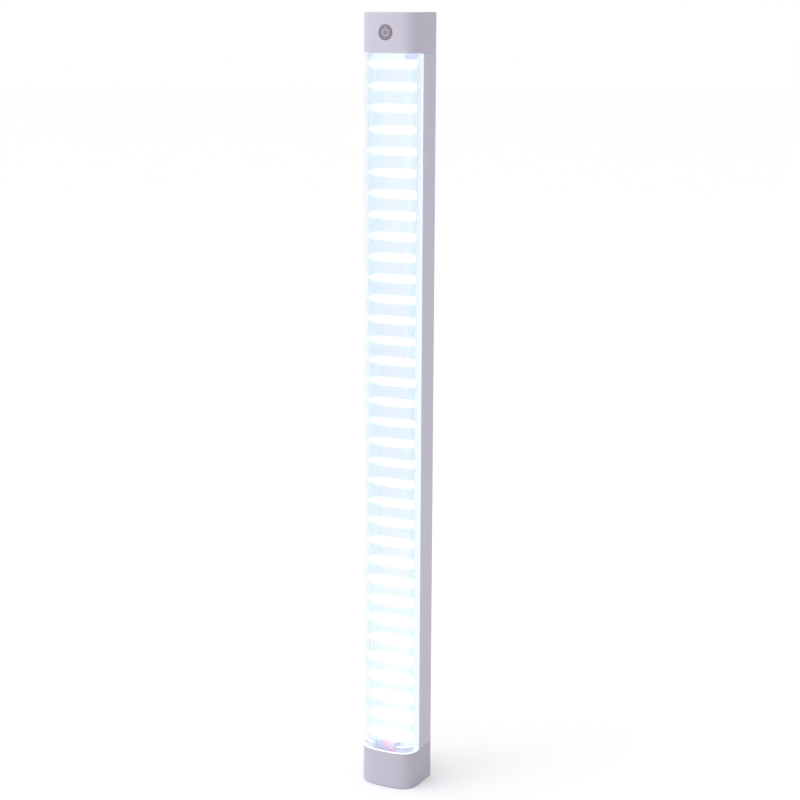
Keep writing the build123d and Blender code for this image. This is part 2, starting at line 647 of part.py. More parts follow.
# Folded nickel strips that join each cell's positive end to the next cell's negative end.
with BuildPart() as battery_tabs:
    for index in range(CELL_COUNT - 1):
        lower = CELL_BOTTOM_Z + index * CELL_PITCH + CELL_LENGTH + TERMINAL_HEIGHT
        upper = CELL_BOTTOM_Z + (index + 1) * CELL_PITCH
        with BuildSketch(Plane.YZ.offset(-TAB_STRIP_WIDTH / 2)):
            with Locations((CELL_Y, (lower + upper) / 2)):
                Rectangle(TERMINAL_RADIUS, upper - lower, align=(Align.MAX, Align.CENTER))
                Rectangle(CELL_RADIUS, upper - lower, align=(Align.MIN, Align.CENTER))
            with Locations((CELL_Y + CELL_RADIUS - TAB_STRIP, (lower + upper) / 2)):
                Rectangle(
                    2 * CELL_RADIUS,
                    upper - lower - 2 * TAB_STRIP,
                    align=(Align.MAX, Align.CENTER),
                    mode=Mode.SUBTRACT,
                )
        extrude(amount=TAB_STRIP_WIDTH)
battery_tabs.part.label = "battery_tabs"
export_step(battery_tabs.part, "parts/battery_tabs.step")

# Battery holder: two rails along the cells, joined by an end plate at each end.
with BuildPart() as battery_holder:
    holder_width = 2 * (RAIL_INNER + RAIL_THICKNESS)
    with BuildSketch(Plane.XY.offset(HOLDER_BOTTOM_Z)):
        with Locations((0, HOUSING_BACK_Y)):
            Rectangle(holder_width, HOUSING_BACK_Y - RAIL_FRONT_Y, align=(Align.CENTER, Align.MAX))
    extrude(amount=HOLDER_TOP_Z - HOLDER_BOTTOM_Z)
    with BuildSketch(Plane.XY.offset(HOLDER_BOTTOM_Z + HOLDER_END)):
        with Locations((0, HOUSING_BACK_Y)):
            Rectangle(2 * RAIL_INNER, HOUSING_BACK_Y - RAIL_FRONT_Y, align=(Align.CENTER, Align.MAX))
    extrude(amount=HOLDER_TOP_Z - HOLDER_BOTTOM_Z - 2 * HOLDER_END, mode=Mode.SUBTRACT)
battery_holder.part.label = "battery_holder"
export_step(battery_holder.part, "parts/battery_holder.step")

# Foam pads between the tray and the cells.
with BuildPart() as battery_pads:
    with BuildSketch(facing_front(CELL_Y - CELL_RADIUS)):
        for index in range(CELL_COUNT):
            with Locations((0, CELL_BOTTOM_Z + index * CELL_PITCH + CELL_LENGTH / 2)):
                Rectangle(PAD_WIDTH, PAD_LENGTH)
    extrude(amount=CELL_Y - CELL_RADIUS - TRAY_REAR_Y)
battery_pads.part.label = "battery_pads"
export_step(battery_pads.part, "parts/battery_pads.step")

# Protection board on the holder's upper end.
with BuildPart() as protection_board:
    with BuildSketch(Plane.XY.offset(HOLDER_TOP_Z)):
        with Locations((0, HOUSING_BACK_Y)):
            Rectangle(PROTECTION_WIDTH, PROTECTION_DEPTH, align=(Align.CENTER, Align.MAX))
    extrude(amount=PROTECTION_THICKNESS)
protection_board.part.label = "protection_board"
export_step(protection_board.part, "parts/protection_board.step")

# ================================================================ lower electronics
with BuildPart() as driver_board:
    with BuildSketch(facing_front(DRIVER_REAR_Y)):
        with Locations((0, DRIVER_BOTTOM_Z)):
            Rectangle(DRIVER_WIDTH, DRIVER_TOP_Z - DRIVER_BOTTOM_Z, align=(Align.CENTER, Align.MIN))
    extrude(amount=BOARD_THICKNESS)
driver_board.part.label = "driver_board"
export_step(driver_board.part, "parts/driver_board.step")

# Inductor, driver chip and capacitors on the board's rear face, and two chips on its front.
with BuildPart() as driver_parts:
    for x, z, wide, tall, thick in [
        (4, 20, 6, 6, 3.0),
        (-4, 25, 5, 4, 1.5),
        (-9, 16, 3.2, 2.5, 1.6),
        (-5, 18, 2, 1.2, 1.0),
        (9, 27, 2, 1.2, 1.0),
    ]:
        with BuildSketch(facing_front(DRIVER_REAR_Y + thick)):
            with Locations((x, z)):
                Rectangle(wide, tall)
        extrude(amount=thick)
    for x, z in [(-6, 22), (-1, 18)]:
        with BuildSketch(facing_front(DRIVER_FRONT_Y)):
            with Locations((x, z)):
                Rectangle(3, 2.5)
        extrude(amount=1.1)
driver_parts.part.label = "driver_parts"
export_step(driver_parts.part, "parts/driver_parts.step")

with BuildPart() as charging_board:
    with BuildSketch(Plane.XY.offset(CHARGER_Z)):
        with Locations((0, CHARGER_FRONT_Y)):
            Rectangle(CHARGER_WIDTH, CHARGER_REAR_Y - CHARGER_FRONT_Y, align=(Align.CENTER, Align.MIN))
        with Locations((-CHARGER_POST_X, CHARGER_POST_Y), (CHARGER_POST_X, CHARGER_POST_Y)):
            Circle(SMALL_CLEARANCE, mode=Mode.SUBTRACT)
    extrude(amount=BOARD_THICKNESS)
charging_board.part.label = "charging_board"
export_step(charging_board.part, "parts/charging_board.step")

# Charger chip, inductor and the indicator LED behind the light pipe.
with BuildPart() as charging_parts:
    for x, y, wide, deep, thick in [(0, 6.5, 4, 4, 0.9), (-4.8, 6.5, 3, 3, 2.0), (PIPE_X, 13.6, 2, 1.6, 2.4)]:
        with BuildSketch(Plane.XY.offset(CHARGER_TOP_Z)):
            with Locations((x, y)):
                Rectangle(wide, deep)
        extrude(amount=thick)
charging_parts.part.label = "charging_parts"
export_step(charging_parts.part, "parts/charging_parts.step")

with BuildPart() as charging_board_screws:
    for side in (-1, 1):
        with Locations((side * CHARGER_POST_X, CHARGER_POST_Y, CHARGER_TOP_Z)):
            add(small_screw)
charging_board_screws.part.label = "charging_board_screws"
export_step(charging_board_screws.part, "parts/charging_board_screws.step")

# Flat jumper that joins the driver board to the charging board.
with BuildPart() as board_jumper:
    with BuildSketch(Plane.XY.offset(CHARGER_Z + (BOARD_THICKNESS - JUMPER_THICKNESS) / 2)):
        with Locations((0, DRIVER_REAR_Y)):
            Rectangle(JUMPER_WIDTH, CHARGER_FRONT_Y - DRIVER_REAR_Y, align=(Align.CENTER, Align.MIN))
    extrude(amount=JUMPER_THICKNESS)
board_jumper.part.label = "board_jumper"
export_step(board_jumper.part, "parts/board_jumper.step")

# ================================================================ charging socket
with BuildPart() as usb_shell:
    with BuildSketch(facing_front(SOCKET_MOUTH_Y)):
        with Locations((0, SOCKET_Z)):
            RectangleRounded(SOCKET_WIDTH, SOCKET_HEIGHT, SOCKET_CORNER)
            RectangleRounded(
                SOCKET_WIDTH - 2 * SOCKET_WALL,
                SOCKET_HEIGHT - 2 * SOCKET_WALL,
                SOCKET_CORNER - SOCKET_WALL,
                mode=Mode.SUBTRACT,
            )
    extrude(amount=SOCKET_LENGTH)
usb_shell.part.label = "usb_shell"
export_step(usb_shell.part, "parts/usb_shell.step")

# Contact tongue on the plastic block that closes the back of the socket.
with BuildPart() as usb_tongue:
    with BuildSketch(facing_front(SOCKET_MOUTH_Y - SOCKET_LENGTH + SOCKET_BACK)):
        with Locations((0, SOCKET_Z)):
            RectangleRounded(
                SOCKET_WIDTH - 2 * SOCKET_WALL,
                SOCKET_HEIGHT - 2 * SOCKET_WALL,
                SOCKET_CORNER - SOCKET_WALL,
            )
    extrude(amount=SOCKET_BACK)
    with BuildSketch(facing_front(SOCKET_MOUTH_Y - SOCKET_LENGTH + SOCKET_BACK + TONGUE_LENGTH)):
        with Locations((0, SOCKET_Z)):
            Rectangle(TONGUE_WIDTH, TONGUE_THICKNESS)
    extrude(amount=TONGUE_LENGTH)
usb_tongue.part.label = "usb_tongue"
export_step(usb_tongue.part, "parts/usb_tongue.step")

with BuildPart() as indicator_pipe:
    with BuildSketch(facing_front(HALF_DEPTH)):
        with Locations((PIPE_X, SOCKET_Z)):
            Circle(PIPE_RADIUS)
    extrude(amount=HALF_DEPTH - PIPE_FRONT_Y)
indicator_pipe.part.label = "indicator_pipe"
export_step(indicator_pipe.part, "parts/indicator_pipe.step")

# ================================================================ fasteners
with BuildPart() as bottom_cap_screws:
    cap_screw = pan_screw(SCREW_RADIUS, SCREW_LENGTH, SCREW_HEAD_RADIUS, SCREW_HEAD_HEIGHT)
    for x, y in SCREW_PLACES:
        with Locations(Plane((x, y, CAP_HEIGHT - SCREW_LEDGE), z_dir=(0, 0, -1))):
            add(cap_screw)
bottom_cap_screws.part.label = "bottom_cap_screws"
export_step(bottom_cap_screws.part, "parts/bottom_cap_screws.step")

with BuildPart() as top_cap_screws:
    for x, y in SCREW_PLACES:
        with Locations((x, y, LENGTH - CAP_HEIGHT + SCREW_LEDGE)):
            add(cap_screw)
top_cap_screws.part.label = "top_cap_screws"
export_step(top_cap_screws.part, "parts/top_cap_screws.step")

# Brass insert with the minor diameter of a 1/4"-20 thread and a waist that keys it in the plastic.
with BuildPart() as tripod_insert:
    with BuildSketch():
        Circle(INSERT_RADIUS)
        Circle(INSERT_BORE, mode=Mode.SUBTRACT)
    extrude(amount=INSERT_LENGTH)
    with BuildSketch(Plane.XY.offset((INSERT_LENGTH - INSERT_WAIST_WIDTH) / 2)):
        Circle(INSERT_RADIUS)
        Circle(INSERT_RADIUS - INSERT_WAIST, mode=Mode.SUBTRACT)
    extrude(amount=INSERT_WAIST_WIDTH, mode=Mode.SUBTRACT)
tripod_insert.part.label = "tripod_insert"
export_step(tripod_insert.part, "parts/tripod_insert.step")

# ================================================================ wires
# Each route is a list of points held by hand: solder pad, the bends in between, solder pad.
wires = {
    "led_lead_red": (
        LED_LEAD_RADIUS,
        [
            (-3.5, LED_BOARD_FRONT_Y, 33.0),
            (-3.5, -10.4, 33.0),
            (2.6, -14.0, 32.0),
            (8.8, -13.2, 27.6),
            (10.4, -12.8, 20.5),
            (10.4, DRIVER_FRONT_Y, 20.5),
        ],
    ),
    "led_lead_black": (
        LED_LEAD_RADIUS,
        [
            (7.5, LED_BOARD_FRONT_Y, 33.0),
            (7.5, -9.2, 33.0),
            (6.2, -11.0, 27.6),
            (5.4, -12.2, 22.6),
            (5.4, DRIVER_FRONT_Y, 22.6),
        ],
    ),
    "battery_lead_red": (
        LEAD_RADIUS,
        [
            (3.0, 6.5, HOLDER_TOP_Z + PROTECTION_THICKNESS),
            (3.0, 6.5, 255.0),
            (9.0, 3.6, 258.0),
            (13.2, 3.0, 250.0),
            (13.4, 3.2, 42.0),
            (11.6, 6.4, 30.0),
            (7.2, 8.8, 22.5),
            (7.2, 8.8, CHARGER_TOP_Z),
        ],
    ),
    "battery_lead_black": (
        LEAD_RADIUS,
        [
            (5.8, 10.0, HOLDER_TOP_Z + PROTECTION_THICKNESS),
            (5.8, 10.0, 256.0),
            (11.4, 7.6, 259.0),
            (16.0, 5.2, 250.0),
            (16.2, 5.4, 42.0),
            (14.2, 8.4, 31.0),
            (10.6, 11.0, 23.5),
            (10.6, 11.0, CHARGER_TOP_Z),
        ],
    ),
    "link_cable": (
        CABLE_RADIUS,
        [
            (-7.5, SWITCH_BOARD_REAR_Y, 577.6),
            (-7.5, -2.6, 577.6),
            (-11.4, 1.6, 573.0),
            (-14.2, 3.0, 562.0),
            (-14.4, 3.2, 44.0),
            (-12.4, 1.6, 32.0),
            (-8.6, -2.2, 25.6),
            (-8.6, DRIVER_REAR_Y, 25.6),
        ],
    ),
}
for wire_name, (wire_radius, route) in wires.items():
    print(wire_name, "bend radii", [round(radius, 1) for radius in corner_radii(route)])
    with BuildPart() as lead:
        add(wire(route, wire_radius))
    lead.part.label = wire_name
    export_step(lead.part, f"parts/{wire_name}.step")
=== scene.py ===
import json
import math

import bpy
from mathutils import Matrix, Vector


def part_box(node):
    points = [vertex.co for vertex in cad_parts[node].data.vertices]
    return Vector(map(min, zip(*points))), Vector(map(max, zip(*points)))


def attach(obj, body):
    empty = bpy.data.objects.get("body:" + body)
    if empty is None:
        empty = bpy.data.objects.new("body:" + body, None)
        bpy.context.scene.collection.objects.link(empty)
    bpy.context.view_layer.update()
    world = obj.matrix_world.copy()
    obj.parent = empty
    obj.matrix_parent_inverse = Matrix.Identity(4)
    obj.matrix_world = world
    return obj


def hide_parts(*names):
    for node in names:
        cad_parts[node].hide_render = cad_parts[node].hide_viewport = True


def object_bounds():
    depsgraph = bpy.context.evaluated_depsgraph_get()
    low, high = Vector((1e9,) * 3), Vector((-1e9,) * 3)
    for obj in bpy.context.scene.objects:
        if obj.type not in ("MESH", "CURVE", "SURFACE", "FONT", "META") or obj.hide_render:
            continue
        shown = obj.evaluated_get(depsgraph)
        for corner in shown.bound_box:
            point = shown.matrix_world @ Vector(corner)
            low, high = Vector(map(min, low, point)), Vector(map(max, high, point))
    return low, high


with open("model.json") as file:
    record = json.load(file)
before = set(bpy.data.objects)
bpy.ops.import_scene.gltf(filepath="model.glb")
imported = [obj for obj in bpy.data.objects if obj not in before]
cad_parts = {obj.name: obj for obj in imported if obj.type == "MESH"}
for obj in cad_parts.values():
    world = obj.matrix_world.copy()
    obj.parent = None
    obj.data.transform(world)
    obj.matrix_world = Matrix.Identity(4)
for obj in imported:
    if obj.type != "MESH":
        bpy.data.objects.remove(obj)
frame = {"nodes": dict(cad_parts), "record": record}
nodes = frame["nodes"]
cad_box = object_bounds()

MM = 0.001

# ---------------------------------------------------------------- the tube's section, in metres
HALF_WIDTH = cad_box[1].x
HALF_DEPTH = cad_box[1].y
FRONT_RADIUS = 80 * MM
CORNER_RADIUS = 12.3 * MM
COVER_WALL = 2.0 * MM
PARTING_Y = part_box("lens_cover")[1].y
FRONT_CENTRE_Y = FRONT_RADIUS - HALF_DEPTH
CORNER_X = HALF_WIDTH - CORNER_RADIUS
CORNER_Y = FRONT_CENTRE_Y - math.sqrt((FRONT_RADIUS - CORNER_RADIUS) ** 2 - CORNER_X**2)
FRONT_SWEEP = math.asin(CORNER_X / (FRONT_RADIUS - CORNER_RADIUS))

# ---------------------------------------------------------------- LED row
LED_COUNT = 34
LED_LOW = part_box("led_packages")[0]
LED_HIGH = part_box("led_packages")[1]
LED_SIZE = LED_HIGH.x - LED_LOW.x
LED_PITCH = (LED_HIGH.z - LED_LOW.z - LED_SIZE) / (LED_COUNT - 1)
LED_FIRST_Z = LED_LOW.z + LED_SIZE / 2

# ---------------------------------------------------------------- light inside the tube: the phosphors' own glow, and painted light on the parts around them
TUBE_LOW_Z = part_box("lens_cover")[0].z
TUBE_HIGH_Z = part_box("lens_cover")[1].z
TUBE_MIDDLE_Z = (TUBE_LOW_Z + TUBE_HIGH_Z) / 2
TUBE_HALF = (TUBE_HIGH_Z - TUBE_LOW_Z) / 2
RIM_LENGTH = 4.8 * MM        # how far a cap's rim reaches into the tube
# painted glow on the caps' rims inside the tube
RIM_GLOW_TOP = 0.56
RIM_GLOW_LOW = 0.45
RIM_CREST_GLOW = 0.6         # painted highlight added along a rim's end
CREST_START = RIM_LENGTH - 0.7 * MM
CREST_FULL = RIM_LENGTH - 0.1 * MM
SEAM_DARK = -0.35 * MM       # a rim's painted glow starts in the seam, between these depths inside the cover's end
SEAM_LIT = -0.2 * MM
LIP_GLOW = 0.5               # painted glow on the housing's lips behind the cover
LIP_GAIN_BELOW = 1.3         # how much brighter the painted glow on the lips is from the middle of the tube down
BLEED_GLOW = 0.05            # painted glow on the housing just behind the cover
EDGE_GLOW = 0.46             # painted glow on the cover's rear edges
END_GLOW = 0.45              # painted glow on the cover's lower end
BAR_HALF_HEIGHT = 2.5 * MM   # half the height of the painted bright bar across each LED
LOW_BAR_HALF_HEIGHT = 4.0 * MM
BAR_GROWTH_LOW = 80 * MM     # the bars grow between these two heights, going down
BAR_GROWTH_HIGH = 270 * MM
BAR_SOFT = 1.5 * MM          # softness of a bar's upper and lower edges
BAR_TAPER_START = 14 * MM    # the bars narrow to a point between these distances from the centre plane
BAR_TAPER_END = 21 * MM
BAR_GLOW = 0.6               # painted light added within a bar
GAP_GLOW = 0.69              # painted glow on tray and board between the bars
# colours of the painted glow between the bars, in the middle and towards the sides
GAP_GLOW_TINT = (0.78, 0.87, 1.0, 1.0)
GAP_SIDE_GLOW_TINT = (0.62, 0.82, 1.0, 1.0)
GAP_SIDE_START = 8 * MM      # the painted glow in the gaps turns bluer between these distances from the centre plane
GAP_SIDE_FULL = 19 * MM
LOW_END_FILL = 1.18          # painted brightness of the gaps at the lower end, at the top end and in the middle
TOP_END_FILL = 1.3
MIDDLE_DIP = 0.93
LOW_END_REACH = 220 * MM     # how far each of the three reaches
TOP_END_REACH = 12 * MM
MIDDLE_REACH = 200 * MM
TOP_END_FULL = 6 * MM        # the top end's painted fill is complete this near to the end
# painted glow on the LED packages
PACKAGE_GLOW = 0.6
PHOSPHOR_GLOW = 1.6
PHOSPHOR_CORE = 1.0 * MM     # half the height of a phosphor's brightest part, and its softness
DROP_LOW = -14 * MM          # painted light from the LEDs falls on the driver board and its leads between these heights, counted from the cover's lower end
DROP_HIGH = 2 * MM           # counted from the cover's lower end

# ---------------------------------------------------------------- shell plastic
SHELL_SHADES = ((0.60, 0.575, 0.69), (0.64, 0.615, 0.72))
# one plastic for housing and caps, made lighter or darker for each part as painted light and shade
HOUSING_PAINTED_SHADING = 1.07
UPPER_CAP_PAINTED_SHADING = 0.985
LOWER_CAP_PAINTED_SHADING = 0.885
SHELL_ROUGHNESS = (0.44, 0.56)
DIE_LINES = (1.0, 1.0, 30.0)   # how far an extrusion draws its grain out along each axis

# ---------------------------------------------------------------- noise patterns
NOISE_LOW = 0.3              # nearly all of a noise's values lie between these two
NOISE_HIGH = 0.7
NOISE_ROUGHNESS = 0.55
TRACK_EDGES = (0.05, 0.12)   # where a copper track ends, as distances within the cell pattern

# how many grains, clouds or tracks there are to the metre
SHELL_CLOUD_SCALE = 45.0
SHELL_GRAIN_SCALE = 2600.0
WHITE_SPECKLE_SCALE = 400.0
METAL_GRAIN_SCALE = 900.0
TRACK_SCALE = 420.0


# ================================================================ node helpers
class Tree:
    """Short calls for building a material's or the world's nodes."""

    def __init__(self, owner, keep=False):
        owner.use_nodes = True
        self.tree = owner.node_tree
        if not keep:
            self.tree.nodes.clear()

    def add(self, kind, **settings):
        node = self.tree.nodes.new(kind)
        for key, value in settings.items():
            setattr(node, key, value)
        return node

    def put(self, socket, value):
        """Feeds a socket from another socket, or sets it."""
        if isinstance(value, bpy.types.NodeSocket):
            self.tree.links.new(value, socket)
        else:
            socket.default_value = value

    def math(self, operation, a, b=0.0):
        node = self.add("ShaderNodeMath", operation=operation)
        self.put(node.inputs[0], a)
        self.put(node.inputs[1], b)
        return node.outputs[0]

    def remap(self, value, low, high, to_low=0.0, to_high=1.0, smooth=True):
        node = self.add("ShaderNodeMapRange")
        node.interpolation_type = "SMOOTHSTEP" if smooth else "LINEAR"
        for socket, number in zip(node.inputs[:5], (value, low, high, to_low, to_high)):
            self.put(socket, number)
        return node.outputs[0]

    def mix(self, factor, a, b):
        node = self.add("ShaderNodeMix", data_type="RGBA")
        self.put(node.inputs["Factor"], factor)
        self.put(node.inputs[6], a)
        self.put(node.inputs[7], b)
        return node.outputs[2]

    def point(self):
        """The surface point in the object's own frame, in metres."""
        return self.add("ShaderNodeTexCoord").outputs["Object"]

    def split(self, vector):
        """The x, y and z of a vector."""
        node = self.add("ShaderNodeSeparateXYZ")
        self.put(node.inputs[0], vector)
        return node.outputs[0], node.outputs[1], node.outputs[2]

    def stretch(self, vector, along):
        """Coordinates in which a pattern is drawn out along each axis by the given factors."""
        node = self.add("ShaderNodeVectorMath", operation="DIVIDE")
        self.put(node.inputs[0], vector)
        node.inputs[1].default_value = along
        return node.outputs[0]

    def noise(self, vector, scale, detail=3.0):
        node = self.add("ShaderNodeTexNoise")
        self.put(node.inputs["Vector"], vector)
        self.put(node.inputs["Scale"], scale)
        self.put(node.inputs["Detail"], detail)
        self.put(node.inputs["Roughness"], NOISE_ROUGHNESS)
        return node.outputs["Fac"]

    def bump(self, height, distance, strength):
        node = self.add("ShaderNodeBump")
        self.put(node.inputs["Height"], height)
        self.put(node.inputs["Distance"], distance)
        self.put(node.inputs["Strength"], strength)
        return node.outputs["Normal"]


def colour(red, green, blue):
    return (red, green, blue, 1.0)


def principled(name, **values):
    """New material with a Principled shader: returns (material, tree, shader)."""
    material = bpy.data.materials.new(name)
    tree = Tree(material)
    shader = tree.add("ShaderNodeBsdfPrincipled")
    out = tree.add("ShaderNodeOutputMaterial")
    tree.tree.links.new(shader.outputs[0], out.inputs["Surface"])
    for key, value in values.items():
        tree.put(shader.inputs[key.replace("_", " ")], value)
    return material, tree, shader


# ================================================================ materials
def shell_plastic(name, tone, drawn_out=(1.0, 1.0, 1.0)):
    """Pale lavender plastic with very slight cloudiness and a fine grain.

    tone scales the base colour, as painted light and shade: each part of one plastic is made lighter or
    darker. drawn_out lengthens the grain into the die lines of an extrusion.
    """
    material, tree, shader = principled(name)
    vector = tree.stretch(tree.point(), drawn_out)
    cloud = tree.noise(vector, SHELL_CLOUD_SCALE, 2.0)
    dark, light = [colour(*(tone * part for part in shade)) for shade in SHELL_SHADES]
    tree.put(shader.inputs["Base Color"], tree.mix(cloud, dark, light))
    grain = tree.noise(vector, SHELL_GRAIN_SCALE, 2.0)
    tree.put(shader.inputs["Roughness"], tree.remap(grain, NOISE_LOW, NOISE_HIGH, *SHELL_ROUGHNESS))
    tree.put(shader.inputs["Normal"], tree.bump(grain, 0.05 * MM, 0.7))
    return material, tree, shader


def cap_plastic(name, tone, rim_glow):
    """Shell plastic of an end cap, with painted light on its rim inside the tube and a painted highlight
    along the rim's end.
    """
    material, tree, shader = shell_plastic(name, tone)
    x, y, z = tree.split(tree.point())
    from_middle = tree.math("ABSOLUTE", tree.math("SUBTRACT", z, TUBE_MIDDLE_Z))
    from_end = tree.math("SUBTRACT", TUBE_HALF, from_middle)
    # painted glow on the rim inside the tube, bluer to the right, with a painted white highlight along the
    # rim's end
    front = tree.remap(y, PARTING_Y, PARTING_Y - 1.0 * MM)
    inside = tree.math("MULTIPLY", front, tree.remap(from_end, SEAM_DARK, SEAM_LIT))
    crest = tree.remap(from_end, CREST_START, CREST_FULL)
    to_right = tree.remap(x, 0.0, 18 * MM)
    glow_tint = tree.mix(to_right, colour(0.74, 0.80, 0.96), colour(0.62, 0.70, 1.0))
    tree.put(shader.inputs["Emission Color"], tree.mix(crest, glow_tint, colour(1.0, 1.0, 1.0)))
    level = tree.math("ADD", rim_glow, tree.math("MULTIPLY", crest, RIM_CREST_GLOW))
    tree.put(shader.inputs["Emission Strength"], tree.math("MULTIPLY", inside, level))
    return material


def housing_plastic():
    """Shell plastic of the housing, with painted glow on its lips behind the cover and on the housing just
    behind the cover.
    """
    material, tree, shader = shell_plastic("shell_plastic_extruded_painted_shading", HOUSING_PAINTED_SHADING, DIE_LINES)
    _, y, z = tree.split(tree.point())
    # painted glow on the lips behind the cover, and a faint painted glow on the housing just behind it
    lip = tree.remap(y, PARTING_Y, PARTING_Y - 0.1 * MM)
    lip = tree.math("MULTIPLY", lip, tree.remap(z, TUBE_MIDDLE_Z, TUBE_HIGH_Z, LIP_GAIN_BELOW, 1.0))
    bleed = tree.remap(y, PARTING_Y + 2.6 * MM, PARTING_Y)
    tree.put(shader.inputs["Emission Color"], colour(0.70, 0.87, 1.0))
    level = tree.math("ADD", tree.math("MULTIPLY", lip, LIP_GLOW), tree.math("MULTIPLY", bleed, BLEED_GLOW))
    tree.put(shader.inputs["Emission Strength"], level)
    return material


def clear_plastic():
    """Clear cover plastic, with painted glow on its rear edges and its lower end."""
    material, tree, shader = principled(
        "cover_clear", Roughness=0.02, IOR=1.49, Transmission_Weight=1.0
    )
    tree.put(shader.inputs["Base Color"], colour(0.97, 0.99, 1.0))
    _, y, z = tree.split(tree.point())
    # painted glow along the rear edges and the lower end
    rear = tree.remap(y, PARTING_Y - 0.9 * MM, PARTING_Y - 0.2 * MM)
    low = tree.remap(z, TUBE_LOW_Z + 0.5 * MM, TUBE_LOW_Z + 0.1 * MM)
    level = tree.math("MAXIMUM", tree.math("MULTIPLY", rear, EDGE_GLOW), tree.math("MULTIPLY", low, END_GLOW))
    tree.put(shader.inputs["Emission Color"], colour(0.84, 0.98, 1.0))
    tree.put(shader.inputs["Emission Strength"], level)
    return material


def led_bars(tree, x, z, half_height, soft):
    """1 in a band at the height of each LED, pointed at both ends, and 0 between the bands."""
    row = tree.math("SUBTRACT", z, LED_FIRST_Z)
    row = tree.math("DIVIDE", row, LED_PITCH)
    away = tree.math("ABSOLUTE", tree.math("SUBTRACT", row, tree.math("ROUND", row)))
    away = tree.math("MULTIPLY", away, LED_PITCH)
    narrow = tree.remap(tree.math("ABSOLUTE", x), BAR_TAPER_START, BAR_TAPER_END, half_height, 0.0)
    return tree.remap(tree.math("SUBTRACT", away, narrow), soft, -soft)


def lit_white(name, glow, glow_tint):
    """White surface inside the tube, with painted light standing in for the LEDs beside it."""
    material, tree, shader = principled(name, Roughness=0.35)
    vector = tree.point()
    x, _, z = tree.split(vector)
    speckle = tree.noise(vector, WHITE_SPECKLE_SCALE, 2.0)
    # the white is kept grey, so that the painted glow sets its brightness
    base = tree.mix(speckle, colour(0.414, 0.4275, 0.4365), colour(0.45, 0.45, 0.45))
    tree.put(shader.inputs["Base Color"], base)
    # painted bright bars across each LED, and painted glow between them
    half_height = tree.remap(z, BAR_GROWTH_LOW, BAR_GROWTH_HIGH, LOW_BAR_HALF_HEIGHT, BAR_HALF_HEIGHT)
    bars = led_bars(tree, x, z, half_height, BAR_SOFT)
    outward = tree.remap(tree.math("ABSOLUTE", x), GAP_SIDE_START, GAP_SIDE_FULL)
    gap_glow_tint = tree.mix(outward, glow_tint, GAP_SIDE_GLOW_TINT)
    tree.put(shader.inputs["Emission Color"], tree.mix(bars, gap_glow_tint, colour(1.0, 1.0, 1.0)))
    # towards the lower end the painted glow grows, as light gathers there, and fills the spaces between the
    # bands
    fill = tree.remap(z, TUBE_LOW_Z + LOW_END_REACH, TUBE_LOW_Z, 1.0, LOW_END_FILL, smooth=False)
    top = tree.remap(z, TUBE_HIGH_Z - TOP_END_REACH, TUBE_HIGH_Z - TOP_END_FULL, 1.0, TOP_END_FILL)
    fill = tree.math("MULTIPLY", fill, top)
    # painted shade: the glow is a little darker in the middle of the tube
    from_middle = tree.math("ABSOLUTE", tree.math("SUBTRACT", z, TUBE_MIDDLE_Z))
    fill = tree.math("MULTIPLY", fill, tree.remap(from_middle, 0.0, MIDDLE_REACH, MIDDLE_DIP, 1.0))
    level = tree.math("ADD", tree.math("MULTIPLY", fill, glow), tree.math("MULTIPLY", bars, BAR_GLOW))
    tree.put(shader.inputs["Emission Strength"], level)
    return material


def phosphor():
    """Lit phosphor: brightest in the middle of each LED."""
    material, tree, shader = principled("led_phosphor_lit", Roughness=0.4)
    x, _, z = tree.split(tree.point())
    tree.put(shader.inputs["Base Color"], colour(0.95, 0.90, 0.62))
    tree.put(shader.inputs["Emission Color"], colour(0.93, 0.98, 1.0))
    core = led_bars(tree, x, z, PHOSPHOR_CORE, PHOSPHOR_CORE)
    tree.put(shader.inputs["Emission Strength"], tree.math("ADD", PHOSPHOR_GLOW, core))
    return material


def lit_from_above(material, glow_tint, strength):
    """Adds painted light from the lowest LEDs on what lies just below them."""
    tree = Tree(material, keep=True)
    shader = next(node for node in tree.tree.nodes if node.type == "BSDF_PRINCIPLED")
    _, _, z = tree.split(tree.point())
    # painted light, growing towards the cover's lower end
    level = tree.remap(z, TUBE_LOW_Z + DROP_LOW, TUBE_LOW_Z + DROP_HIGH, 0.0, strength)
    tree.put(shader.inputs["Emission Color"], glow_tint)
    tree.put(shader.inputs["Emission Strength"], level)
    return material


def plain_plastic(name, dark, light, roughness=0.45, grain_scale=1500.0):
    """Moulded plastic or rubber with a fine grain, in two close shades."""
    material, tree, shader = principled(name)
    grain = tree.noise(tree.point(), grain_scale, 2.0)
    tree.put(shader.inputs["Base Color"], tree.mix(grain, dark, light))
    tree.put(shader.inputs["Roughness"],
             tree.remap(grain, NOISE_LOW, NOISE_HIGH, roughness - 0.06, roughness + 0.06))
    tree.put(shader.inputs["Normal"], tree.bump(grain, 0.02 * MM, 0.5))
    return material


def metal(name, dark, light, roughness):
    """Plated or turned metal with a fine grain, in two close shades."""
    material, tree, shader = principled(name, Metallic=1.0)
    grain = tree.noise(tree.point(), METAL_GRAIN_SCALE)
    tree.put(shader.inputs["Base Color"], tree.mix(grain, dark, light))
    tree.put(shader.inputs["Roughness"],
             tree.remap(grain, NOISE_LOW, NOISE_HIGH, roughness - 0.07, roughness + 0.07))
    tree.put(shader.inputs["Normal"], tree.bump(grain, 0.01 * MM, 0.4))
    return material


